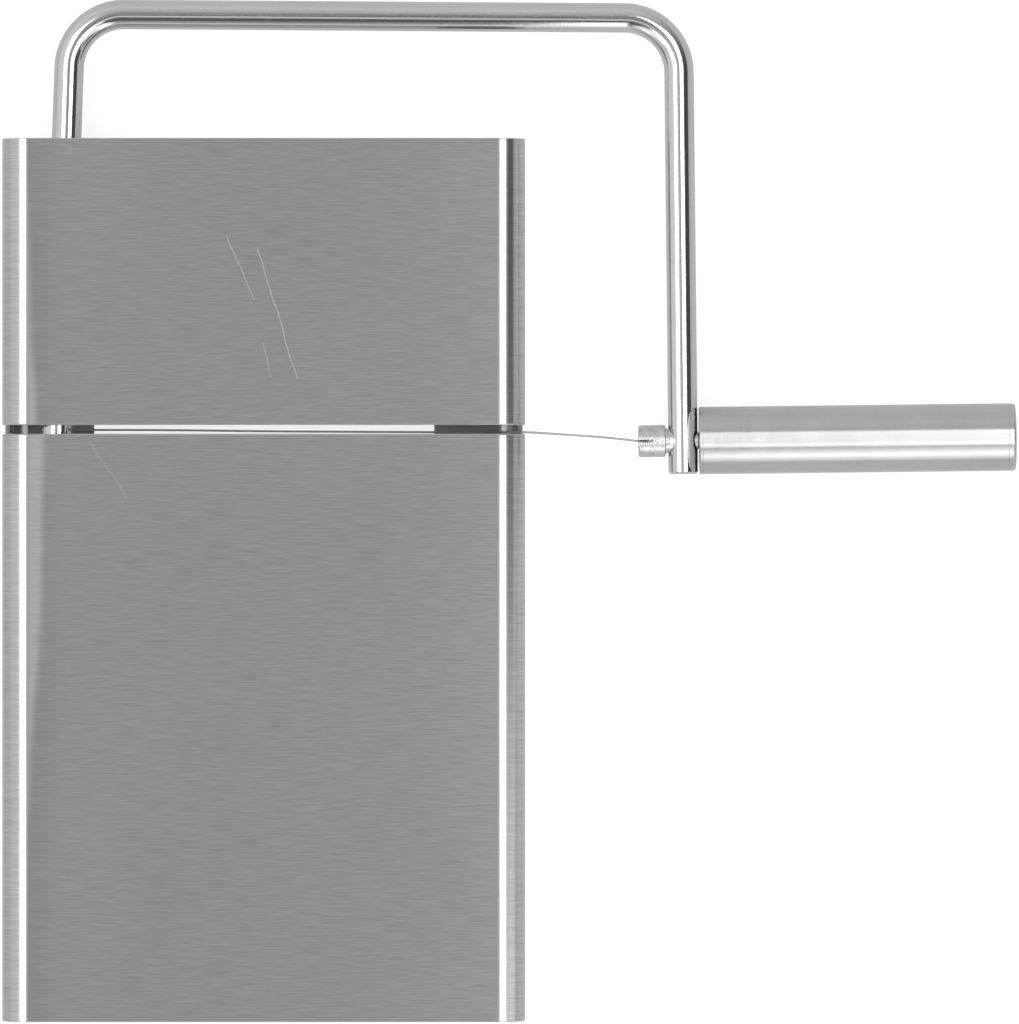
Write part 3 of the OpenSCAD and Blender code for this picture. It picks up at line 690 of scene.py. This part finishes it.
def buildBoard():
    section, split = boardSection()
    high = range(split, len(section) - split)
    bevel, soft, length = boardSize["slotBevel"], boardSize["edgeBreak"], boardSize["halfLength"]
    front, back = boardSize["slotFront"], boardSize["slotBack"]
    endGuard, slotGuard = boardSize["endGuard"], boardSize["slotGuard"]
    # place along Y, inset of the ends, inset of the slot
    stations = [(-length, soft, 0), (-length + soft, 0, 0), (-length + soft + endGuard, 0, 0)]
    stations += [(y, 0, 0) for y in range(*boardSize["frontRows"])]
    stations += [(front - bevel - slotGuard, 0, 0), (front - bevel, 0, 0), (front, 0, bevel)]
    stations += [(back, 0, bevel), (back + bevel, 0, 0), (back + bevel + slotGuard, 0, 0)]
    stations += [(y, 0, 0) for y in range(*boardSize["backRows"])]
    stations += [(length - soft - endGuard, 0, 0), (length - soft, 0, 0), (length, soft, 0)]
    slotRow = [y for y, _, _ in stations].index(front)
    bm = bmesh.new()
    layer = bm.loops.layers.uv.new("brushing")
    outer, inner = [], []
    for y, endInset, slotInset in stations:
        rowOut, rowIn = [], []
        for i, (o, n, normal) in enumerate(section):
            edge = i in (split, len(section) - split - 1)
            inset = endInset + (slotInset if i in high and not edge else 0)
            deep = inset * (boardSize["bevelOut"] if slotInset else 1)
            small = inset * (boardSize["bevelIn"] if slotInset else 1)
            drop = springDrop(o[0], y, o[1])
            outerPoint = Vector((o[0] - normal[0] * deep, y, o[1] - normal[1] * deep - drop))
            innerPoint = Vector((n[0] + normal[0] * small, y, n[1] + normal[1] * small - drop))
            rowOut.append(bm.verts.new(outerPoint * mm))
            rowIn.append(bm.verts.new(innerPoint * mm))
        outer.append(rowOut)
        inner.append(rowIn)
    last = len(section) - 1
    for k in range(len(stations) - 1):
        for i in range(last):
            if k == slotRow and i in high and i + 1 in high:
                continue
            bm.faces.new((outer[k][i], outer[k][i + 1], outer[k + 1][i + 1], outer[k + 1][i]))
            bm.faces.new((inner[k][i], inner[k + 1][i], inner[k + 1][i + 1], inner[k][i + 1]))
        for i in (0, last):
            bm.faces.new((outer[k][i], inner[k][i], inner[k + 1][i], outer[k + 1][i]))
    for k, span in ((0, range(last)), (len(stations) - 1, range(last)), (slotRow, high[:-1]),
                    (slotRow + 1, high[:-1])):
        for i in span:
            bm.faces.new((outer[k][i], outer[k][i + 1], inner[k][i + 1], inner[k][i]))
    for i in (split, last - split):
        k = slotRow
        bm.faces.new((outer[k][i], outer[k + 1][i], inner[k + 1][i], inner[k][i]))
    bmesh.ops.recalc_face_normals(bm, faces=bm.faces)
    for face in bm.faces:  # u runs along Y, across the brushing
        for loop in face.loops:
            loop[layer].uv = (loop.vert.co.y * 4, loop.vert.co.x * 4 + loop.vert.co.z)
    drills = [drill("drill", -1, 3, footPlace["hole"], (side * footPlace["x"], end * footPlace["y"], 1.0),
                    upward, 48) for side in (-1, 1) for end in (-1, 1)]
    return carved(meshObject("board_raw", bm), drills, "brushed_board")


board = buildBoard()
finish(board, brushedSheet, "board", "brushed_sheet", "board_shell")
print("board:", len(board.data.polygons), "faces")

# feet

footSize = {
    "radius": 4.5, "draft": 0.12, "height": 1.6, "stem": 2.5, "barbLow": 2.62, "barbHigh": 2.66,
    "barb": 3.15, "top": 3.9, "tip": 1.9, "dimple": 2.2, "dimpleDepth": 0.35, "dimpleRim": 2.7,
}
footProfile = roundCorners([
    (footSize["dimpleDepth"], 0.0, 0), (footSize["dimpleDepth"], footSize["dimple"], 0.2),
    (0.0, footSize["dimpleRim"], 0.3), (0.0, footSize["radius"], 0.5),
    (footSize["height"], footSize["radius"] - footSize["draft"], 0.25),
    (footSize["height"], footSize["stem"], 0.0), (footSize["barbLow"], footSize["stem"], 0.0),
    (footSize["barbHigh"], footSize["barb"], 0.1), (footSize["top"], footSize["tip"], 0.3),
    (footSize["top"], 0.0, 0)], 4)
footShape = turned("foot_shape", footProfile, (0, 0, 0), upward, 56)
footPoints = [(sx * footPlace["x"], sy * footPlace["y"], 0) for sx in (-1, 1) for sy in (-1, 1)]
feet = repeated("rubber_feet", footShape, footPoints, mouldedRubber)
finish(feet, mouldedRubber, "board", "rubber", "front_left_foot", "front_right_foot", "rear_left_foot",
       "rear_right_foot")

# pivot bracket with its bushes, washers and clips

pivotSize = {  # places along the pivot axis from the wire, in mm
    "flange": 5.0, "sleeve": 4.2, "bore": 3.55, "washer": 4.9, "edge": 0.12, "clipEdge": 0.1,
    # each bush: the flange's outer and inner face, the sleeve's end. Each washer: its two faces.
    "frontBush": (8.0, 9.0, 10.0), "rearBush": (42.0, 41.0, 40.0),
    "frontWasher": (7.4, 7.9), "rearWasher": (42.1, 42.6),
    "ringJoin": (4.2, 4.1),  # how far out on its first face a ring's outline starts and ends
    "weldAlong": (17.0, 25.0, 33.0), "weldTop": 3.6,
    "weldDome": [(0.02, 0.0, 0), (0.05, 0.5, 0.2), (0.16, 1.0, 0.3), (0.05, 1.46, 0.1), (-0.9, 1.46, 0),
                 (-0.9, 0.0, 0)],
}
ringStart, ringEnd = pivotSize["ringJoin"]
bracket = softened("pivot_bracket", pivotSize["edge"])
finish(bracket, zincStrip, "board", "zinc_plated_strip", "pivot_bracket")

weldShape = turned("weld_shape", roundCorners(pivotSize["weldDome"], 3), (0, 0, 0), upward, 32)
weldPoints = [Vector((*pivotPoint[:2], pivotSize["weldTop"])) + Vector(pivotAxis) * along
              for along in pivotSize["weldAlong"]]
welds = repeated("bracket_spot_welds", weldShape, weldPoints, zincStrip)
finish(welds, zincStrip, "board", "zinc_plated_strip")

for label in ("front", "rear"):
    flangeOut, flangeIn, sleeveEnd = pivotSize[label + "Bush"]
    profile = roundCorners([
        (flangeOut, ringStart, 0.0), (flangeOut, pivotSize["flange"], 0.2),
        (flangeIn, pivotSize["flange"], 0.1), (flangeIn, pivotSize["sleeve"], 0.0),
        (sleeveEnd, pivotSize["sleeve"], 0.12), (sleeveEnd, pivotSize["bore"], 0.1),
        (flangeOut, pivotSize["bore"], 0.2), (flangeOut, ringEnd, 0.0)], 4)
    bush = turned(label + "_bush.finished", profile, pivotPoint, pivotAxis, 72, ring=True)
    finish(bush, naturalNylon, "board", "nylon", label + "_pivot_bush")

for label in ("front", "rear"):
    near, far = pivotSize[label + "Washer"]
    profile = roundCorners([
        (near, ringStart, 0.0), (near, pivotSize["washer"], 0.12), (far, pivotSize["washer"], 0.12),
        (far, pivotSize["bore"], 0.08), (near, pivotSize["bore"], 0.08), (near, ringEnd, 0.0)], 3)
    washer = turned(label + "_washer.finished", profile, pivotPoint, pivotAxis, 72, ring=True)
    finish(washer, tumbledSteel, "arm", "washer_steel", label + "_thrust_washer")
    clip = softened(label + "_retaining_clip", pivotSize["clipEdge"])
    finish(clip, springSteel, "arm", "clip_steel", label + "_retaining_clip")
print("feet, bracket and pivot hardware built")

# arm rod: one bent bar swept along its path, then drilled

rodSize = {
    "radius": 3.5, "bend": 13.0, "pivotTip": 3.5, "handleTip": 7.9, "cornerA": (-45.71, 134.2),
    "cornerB": (98.37, 133.2), "step": 2.0, "arcSteps": 30, "sides": 72,
    "tip": ((0.0, 0.5), (0.2, 0.25), (0.5, 0.0), (0.7, 0.0)),  # distance from an end, how much thinner
    # the pivot leg's stations before, between and behind its two grooves, and where the even ones start
    "frontStations": (-1, 1, 3, 5, 6.3), "midStations": (*range(9, 42, 3), 42.5), "rearStations": (45,),
    "legEnd": 46, "grooveRadius": 3.0, "frontGroove": (6.45, 7.35), "rearGroove": (42.65, 43.55),
    "grooveGuard": 0.15, "counterbore": 3.0, "counterboreEnd": -0.5, "screwHole": 2.08,
    "nippleSeat": 1.5, "nippleSeatEnd": -1.1, "wireHole": 0.35,
}


def rodPath():
    start = Vector(pivotPoint[:2]) - Vector(pivotAxis[:2]) * rodSize["pivotTip"]
    cornerA, cornerB = Vector(rodSize["cornerA"]), Vector(rodSize["cornerB"])
    crossing = Vector(handlePoint[:2])
    end = crossing + (crossing - cornerB).normalized() * rodSize["handleTip"]
    anchors, points = [start, cornerA, cornerB, end], [start]
    for i in (1, 2):
        toBack = (anchors[i - 1] - anchors[i]).normalized()
        toAhead = (anchors[i + 1] - anchors[i]).normalized()
        opening = toBack.angle(toAhead)
        reach = rodSize["bend"] / math.tan(opening / 2)
        centre = anchors[i] + (toBack + toAhead).normalized() * rodSize["bend"] / math.sin(opening / 2)
        first = anchors[i] + toBack * reach - centre
        sweep = first.angle_signed(anchors[i] + toAhead * reach - centre)
        for k in range(rodSize["arcSteps"] + 1):
            points.append(centre + Matrix.Rotation(-sweep * k / rodSize["arcSteps"], 2) @ first)
    return points + [end]


def rodStations():
    corners = rodPath()
    dense = []
    for a, b in zip(corners, corners[1:]):  # long straights are divided so that their shading stays even
        count = max(1, round((b - a).length / rodSize["step"]))
        dense += [a.lerp(b, k / count) for k in range(count)]
    dense.append(corners[-1])
    start, along = Vector(pivotPoint[:2]), Vector(pivotAxis[:2])
    while (dense[0] - start).dot(along) < rodSize["legEnd"]:  # the pivot leg gets its own stations
        dense.pop(0)
    full, groove, height = rodSize["radius"], rodSize["grooveRadius"], pivotPoint[2]
    leg = [(away - rodSize["pivotTip"], full - thinner) for away, thinner in rodSize["tip"]]
    leg += [(a, full) for a in rodSize["frontStations"]]
    for (low, high), behind in ((rodSize["frontGroove"], rodSize["midStations"]),
                                (rodSize["rearGroove"], rodSize["rearStations"])):
        leg += [(low, full), (low, groove), (high, groove), (high, full)]
        leg += [(a, full) for a in (high + rodSize["grooveGuard"], *behind)]
    stations = [(*(start + along * a), height, r) for a, r in leg]
    stations += [(*p, height, full) for p in dense[:-1]]
    end, back = dense[-1], (dense[-2] - dense[-1]).normalized()
    return stations + [(*(end + back * away), height, full - thinner)
                       for away, thinner in reversed(rodSize["tip"])]


rodBar = runTree(pathCarrier("rod_path", rodStations()), sweepTree,
                 {"Sides": rodSize["sides"], "Material": polishedRod}, "rod_bar")
rodCutters = [
    drill("counterbore", -6, rodSize["counterboreEnd"], rodSize["counterbore"], handlePoint, handleAxis, 64),
    drill("screw_hole", -1, 6, rodSize["screwHole"], handlePoint, handleAxis, 48),
    drill("nipple_seat", -6, rodSize["nippleSeatEnd"], rodSize["nippleSeat"], wireAnchor, rightward, 40),
    drill("wire_hole", -2, 6, rodSize["wireHole"], wireAnchor, rightward, 24),
]
armRod = carved(rodBar, rodCutters, "bent_rod")
finish(armRod, polishedRod, "arm", "polished_rod", "arm_rod")
print("arm rod:", len(armRod.data.polygons), "faces")

# cutting wire, from the pivot leg to the tension screw

wireSize = {
    "radius": 0.25, "sides": 12, "height": 8.0, "steps": 5,
    "route": [(-52.0, 35.55), (-47.0, 35.55), (-31.0, 35.55), (-16.0, 35.45), (0.0, 35.25), (16.0, 35.15),
              (36.0, 35.05), (52.0, 35.0), (62.0, 35.0), (67.0, 34.75), (73.0, 34.35), (80.0, 33.85),
              (86.0, 33.25), (89.0, 32.92), (93.2, 32.93)],
    "blendFrom": 62.0, "blendTo": 90.5,
}


def wireStations():  # a smooth curve through the route's points
    knots = [Vector((*p, wireSize["height"])) for p in wireSize["route"]]
    ends = [knots[0] * 2 - knots[1]] + knots + [knots[-1] * 2 - knots[-2]]
    points = []
    for i in range(1, len(ends) - 2):
        a, b, c, d = ends[i - 1:i + 3]
        for k in range(wireSize["steps"]):
            t = k / wireSize["steps"]
            points.append(0.5 * (2 * b + (c - a) * t + (2 * a - 5 * b + 4 * c - d) * t * t
                                 + (3 * b - a - 3 * c + d) * t ** 3))
    return [(*p, wireSize["radius"]) for p in points + [knots[-1]]]


wire = runTree(pathCarrier("wire_path", wireStations()), sweepTree,
               {"Sides": wireSize["sides"], "Material": drawnWire}, "slicing_wire")
finish(smoothShaded(wire, 50), drawnWire, None, "wire_steel", "cutting_wire")
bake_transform(wire)

nippleSize = {
    "anchor": (-3.4, -1.2, 1.4), "tension": (-1.5, 1.5, 1.2),  # its two ends and its radius
    "edge": 0.25, "dimple": 0.35, "dimpleDepth": 0.1, "tensionAlong": -7.05,
}
for label, origin, axis, body in (
        ("anchor", wireAnchor, rightward, "arm"),
        ("tension", alongHandle(nippleSize["tensionAlong"]), upward, "tension_screw")):
    low, high, radius = nippleSize[label]
    profile = roundCorners([
        (low + nippleSize["dimpleDepth"], 0, 0), (low, nippleSize["dimple"], 0.1),
        (low, radius, nippleSize["edge"]), (high, radius, nippleSize["edge"]),
        (high, nippleSize["dimple"], 0.1), (high - nippleSize["dimpleDepth"], 0, 0)], 4)
    nipple = turned(label + "_nipple.finished", profile, origin, axis, 40)
    finish(nipple, platedBrass, body, "nipple_brass", label + "_nipple")

# tension screw: turned head with an end slot, neck and threaded shank

screwSize = {
    "headStart": -10.55, "headEnd": -4.15, "head": 3.8, "neck": 2.92, "neckEnd": -1.5, "shank": 2.0,
    "shankEnd": 22.15, "slot": 0.35, "slotBottom": -0.5, "slotEnd": -7.05, "nippleHole": 1.3,
    "headEdge": 0.35, "pitch": 0.7, "threadStart": 3.6, "core": 1.70, "crest": 0.30, "runOut": 0.3,
    "tipBevel": 0.4, "threadInset": 0.5, "threadShorter": 1.2, "crestSunk": 0.02,
}
headStart, headEnd, neckEnd, threadStart, shankEnd = [
    screwSize[key] for key in ("headStart", "headEnd", "neckEnd", "threadStart", "shankEnd")]
head, neck, shank, core, tipBevel = [screwSize[key] for key in ("head", "neck", "shank", "core", "tipBevel")]
screwProfile = roundCorners([
    (headStart, 0, 0), (headStart, head, screwSize["headEdge"]), (headEnd, head, screwSize["headEdge"]),
    (headEnd, neck, 0.15), (neckEnd, neck, 0.2), (neckEnd, shank, 0.15), (threadStart, shank, 0.1),
    (threadStart + screwSize["runOut"], core, 0.1), (shankEnd - tipBevel, core, 0.1),
    (shankEnd, core - tipBevel, 0.1), (shankEnd, 0, 0)], 5)
screwBody = turned("screw_body", screwProfile, handlePoint, handleAxis, 80)
screwCutters = [
    block("end_slot", (headStart - 1, -screwSize["slot"], screwSize["slotBottom"]),
          (screwSize["slotEnd"], screwSize["slot"], 6), handleTurn, handlePoint),
    drill("nipple_hole", -6, 1.6, screwSize["nippleHole"], alongHandle(screwSize["slotEnd"]), upward, 40),
]
screw = carved(screwBody, screwCutters, "tension_screw_body")
finish(screw, turnedSteel, "tension_screw", "turned_steel", "tension_screw")

threadLength = shankEnd - threadStart - screwSize["threadShorter"]
thread = runTree(pathCarrier("thread_start", [(0, 0, 0, 1), (0, 0, 1, 1)]), threadTree, {
    "Turns": threadLength / screwSize["pitch"],
    "Core Radius": (core - screwSize["crestSunk"]) * mm,
    "Length": threadLength * mm, "Crest": screwSize["crest"] * mm, "Material": turnedSteel}, "screw_thread")
threadAt = Vector(alongHandle(threadStart + screwSize["threadInset"])) * mm
turnOver = Vector(upward).rotation_difference(Vector(handleAxis)).to_matrix().to_4x4()
thread.data.transform(Matrix.Translation(threadAt) @ turnOver)
finish(thread, turnedSteel, "tension_screw", "turned_steel")
print("wire, nipples and tension screw built")

# handle: tube, end caps and insert

handleSize = {
    "radius": 8.0, "bore": 7.0, "tube": (4.65, 77.15), "nearFace": 3.85, "farFace": 78.85, "spigot": 2.5,
    "nearHole": 2.6, "farEdge": 1.45, "nearEdge": 0.7, "insert": (7.15, 21.15), "insertBore": 2.05,
    "seam": 0.06,
    # where each ring's outline starts and ends: along the tube, out on the cap's and the insert's face
    "tubeJoin": (20, 50), "capJoin": (5.0, 4.8), "insertJoin": (4, 3.9),
}
tubeLow, tubeHigh = handleSize["tube"]
outside, inside, seam = handleSize["radius"], handleSize["bore"], handleSize["seam"]
joinStart, joinEnd = handleSize["tubeJoin"]
tubeProfile = roundCorners([
    (joinStart, outside, 0), (tubeLow, outside, seam), (tubeLow, inside, 0.1),
    (tubeHigh, inside, 0.1), (tubeHigh, outside, seam), (joinEnd, outside, 0)], 4)
tube = turned("handle_tube.finished", tubeProfile, handlePoint, handleAxis, 120, ring=True)
finish(tube, satinTube, "handle", "satin_tube", "handle_tube")

nearFace, nearEnd, hole = handleSize["nearFace"], tubeLow + handleSize["spigot"], handleSize["nearHole"]
joinStart, joinEnd = handleSize["capJoin"]
nearProfile = roundCorners([
    (nearFace, joinStart, 0), (nearFace, outside, handleSize["nearEdge"]), (tubeLow, outside, seam),
    (tubeLow, inside, 0), (nearEnd, inside, 0.2), (nearEnd, hole, 0.1), (nearFace, hole, 0.25),
    (nearFace, joinEnd, 0)], 5)
nearCap = turned("handle_near_cap.finished", nearProfile, handlePoint, handleAxis, 120, ring=True)
finish(nearCap, satinTube, "handle", "satin_tube", "handle_near_cap")

farStart, farFace = tubeHigh - handleSize["spigot"], handleSize["farFace"]
farProfile = roundCorners([
    (farStart, 0, 0), (farStart, inside, 0.2), (tubeHigh, inside, 0), (tubeHigh, outside, seam),
    (farFace, outside, handleSize["farEdge"]), (farFace, 0, 0)], 8)
farCap = turned("handle_far_cap.finished", farProfile, handlePoint, handleAxis, 120)
finish(farCap, satinTube, "handle", "satin_tube", "handle_far_cap")

insertLow, insertHigh = handleSize["insert"]
joinStart, joinEnd = handleSize["insertJoin"]
insertProfile = roundCorners([
    (insertLow, joinStart, 0), (insertLow, inside, 0.3), (insertHigh, inside, 0.3),
    (insertHigh, handleSize["insertBore"], 0.3), (insertLow, handleSize["insertBore"], 0.3),
    (insertLow, joinEnd, 0)], 3)
insert = turned("handle_insert.finished", insertProfile, handlePoint, handleAxis, 72, ring=True)
finish(insert, turnedSteel, "handle", "turned_steel", "handle_insert")
print("handle built")
